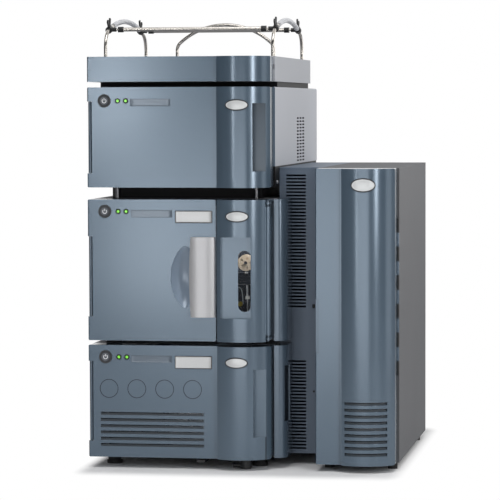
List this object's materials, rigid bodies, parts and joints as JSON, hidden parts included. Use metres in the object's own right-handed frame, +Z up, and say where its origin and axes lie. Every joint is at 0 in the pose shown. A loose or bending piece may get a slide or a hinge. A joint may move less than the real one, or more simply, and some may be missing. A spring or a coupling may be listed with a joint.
{
  "type": "hplc system",
  "caption": "Liquid chromatography stack: solvent tray with rails, detector, sampler and pump, with a tall column heater and louvred side duct beside it",
  "frame": {"origin": "bottom centre of the overall box: the middle of the footprint, on the bench the feet stand on", "axes": "+X to the right seen from the front, +Y from the doors to the rear, +Z up"},
  "size_m": [0.572, 0.63, 0.8385],
  "materials": {
    "door_plastic": "fine moulded texture, blue-grey",
    "light_sheet": "powder coated light grey",
    "cheek_plastic": "moulded, blue-grey",
    "duct_paint": "powder coated blue-grey",
    "black_sheet": "powder coated black",
    "grey_sheet": "powder coated dark grey",
    "zinc_sheet": "zinc plated",
    "black_plastic": "satin black",
    "steel": "ground stainless steel",
    "rail_steel": "drawn stainless tube",
    "handle_alloy": "satin anodised",
    "lamp_green": "clear green lens",
    "clear_sleeve": "translucent tube",
    "window_pane": "clear pane",
    "vial_glass": "clear glass",
    "compartment_lining": "off-white lining",
    "carousel_plastic": "moulded, blue",
    "pulley_plastic": "beige",
    "alloy": "machined",
    "foot_rubber": "matte black"
  },
  "bodies": {
    "stack": {"tray_fascia": "door_plastic", "tray_pan": "light_sheet", "tray_plinth": "black_sheet", "rail_arches": "rail_steel", "rail_rear_hoop": "rail_steel", "rail_crossbars": "rail_steel", "rail_clamps": "black_plastic", "rail_sleeves": "clear_sleeve", "detector_chassis": "black_sheet", "detector_cover": "light_sheet", "detector_bulkhead": "zinc_sheet", "lamp_housing": "alloy", "flow_cell": "steel", "detector_feet": "steel", "sampler_chassis": "grey_sheet", "sampler_cover": "light_sheet", "sampler_bulkhead": "zinc_sheet", "sample_compartment": "compartment_lining", "fluidics_hinge": "steel", "needle_guide": "grey_sheet", "injection_valve": "steel", "side_cheeks": "cheek_plastic", "pump_chassis": "grey_sheet", "pump_cover": "light_sheet", "pump_bulkhead": "zinc_sheet", "pump_heads": "steel", "degasser": "grey_sheet", "drip_tray": "black_plastic", "heater_case": "light_sheet", "heater_side_duct": "duct_paint", "heater_hinge": "black_plastic", "column_trough": "alloy", "columns": "steel", "rubber_feet": "foot_rubber", "door_hinges": "cheek_plastic", "fan_frames": "black_plastic", "rear_connectors": "black_plastic"},
    "detector_door_body": {"detector_door": "door_plastic", "detector_status_lamps": "lamp_green"},
    "detector_button_body": {"detector_power_button": "black_plastic"},
    "sample_door_body": {"sample_door": "door_plastic", "door_handle": "handle_alloy", "sampler_status_lamps": "lamp_green"},
    "sampler_button_body": {"sampler_power_button": "black_plastic"},
    "fluidics_door_body": {"fluidics_door": "door_plastic", "fluidics_window": "window_pane"},
    "pump_door_body": {"pump_door": "door_plastic", "door_plugs": "door_plastic", "pump_status_lamps": "lamp_green"},
    "pump_button_body": {"pump_power_button": "black_plastic"},
    "heater_door_body": {"heater_door": "door_plastic"},
    "needle_body": {"needle_carriage": "steel"},
    "pulley_body": {"needle_pulley": "pulley_plastic"},
    "knob_body": {"prime_valve_knob": "black_plastic"},
    "carousel_body": {"vial_carousel": "carousel_plastic", "vials": "vial_glass"},
    "detector_fan_body": {"detector_fan": "black_plastic"},
    "sampler_fan_body": {"sampler_fan": "black_plastic"},
    "pump_fan_body": {"pump_fan": "black_plastic"},
    "heater_fan_body": {"heater_fan": "black_plastic"}
  },
  "joints": [
    {"name": "detector_door_hinge", "type": "hinge", "parent": "stack", "child": "detector_door_body", "pos_m": [-0.2815, -0.2885, 0.61], "axis": [0, 0, -1], "range_deg": [0, 110]},
    {"name": "sample_door_hinge", "type": "hinge", "parent": "stack", "child": "sample_door_body", "pos_m": [-0.2815, -0.2885, 0.354], "axis": [0, 0, -1], "range_deg": [0, 110]},
    {"name": "pump_door_hinge", "type": "hinge", "parent": "stack", "child": "pump_door_body", "pos_m": [-0.2815, -0.2885, 0.12375], "axis": [0, 0, -1], "range_deg": [0, 110]},
    {"name": "fluidics_door_hinge", "type": "hinge", "parent": "stack", "child": "fluidics_door_body", "pos_m": [0.05, -0.292, 0.366], "axis": [0, 0, 1], "range_deg": [0, 110]},
    {"name": "heater_door_hinge", "type": "hinge", "parent": "stack", "child": "heater_door_body", "pos_m": [0.2835, -0.2515, 0.318], "axis": [0, 0, 1], "range_deg": [0, 110]},
    {"name": "detector_power_press", "type": "slide", "parent": "detector_door_body", "child": "detector_button_body", "axis": [0, 1, 0], "range_m": [0, 0.0015], "stiffness_N_per_m": 300},
    {"name": "sampler_power_press", "type": "slide", "parent": "sample_door_body", "child": "sampler_button_body", "axis": [0, 1, 0], "range_m": [0, 0.0015], "stiffness_N_per_m": 300},
    {"name": "pump_power_press", "type": "slide", "parent": "pump_door_body", "child": "pump_button_body", "axis": [0, 1, 0], "range_m": [0, 0.0015], "stiffness_N_per_m": 300},
    {"name": "needle_lower", "type": "slide", "parent": "stack", "child": "needle_body", "axis": [0, 0, -1], "range_m": [0, 0.024]},
    {"name": "needle_pulley_turn", "type": "hinge", "parent": "stack", "child": "pulley_body", "pos_m": [-0.004, -0.21, 0.376], "axis": [0, 1, 0], "range_deg": [0, 115]},
    {"name": "prime_valve_turn", "type": "hinge", "parent": "stack", "child": "knob_body", "pos_m": [0.014, -0.215, 0.156], "axis": [0, 1, 0], "range_deg": [0, 90]},
    {"name": "carousel_turn", "type": "hinge", "parent": "stack", "child": "carousel_body", "pos_m": [-0.165, -0.13, 0.266], "axis": [0, 0, 1], "continuous": true},
    {"name": "detector_fan_spin", "type": "hinge", "parent": "stack", "child": "detector_fan_body", "pos_m": [-0.194, 0.29, 0.61], "axis": [0, 1, 0], "continuous": true},
    {"name": "sampler_fan_spin", "type": "hinge", "parent": "stack", "child": "sampler_fan_body", "pos_m": [-0.194, 0.29, 0.366], "axis": [0, 1, 0], "continuous": true},
    {"name": "pump_fan_spin", "type": "hinge", "parent": "stack", "child": "pump_fan_body", "pos_m": [-0.194, 0.29, 0.12375], "axis": [0, 1, 0], "continuous": true},
    {"name": "heater_fan_spin", "type": "hinge", "parent": "stack", "child": "heater_fan_body", "pos_m": [0.2115, 0.238, 0.103], "axis": [0, 1, 0], "continuous": true}
  ],
  "couplings": [
    {"joint": "needle_pulley_turn", "follows": "needle_lower", "rad_per_m": 83}
  ]
}
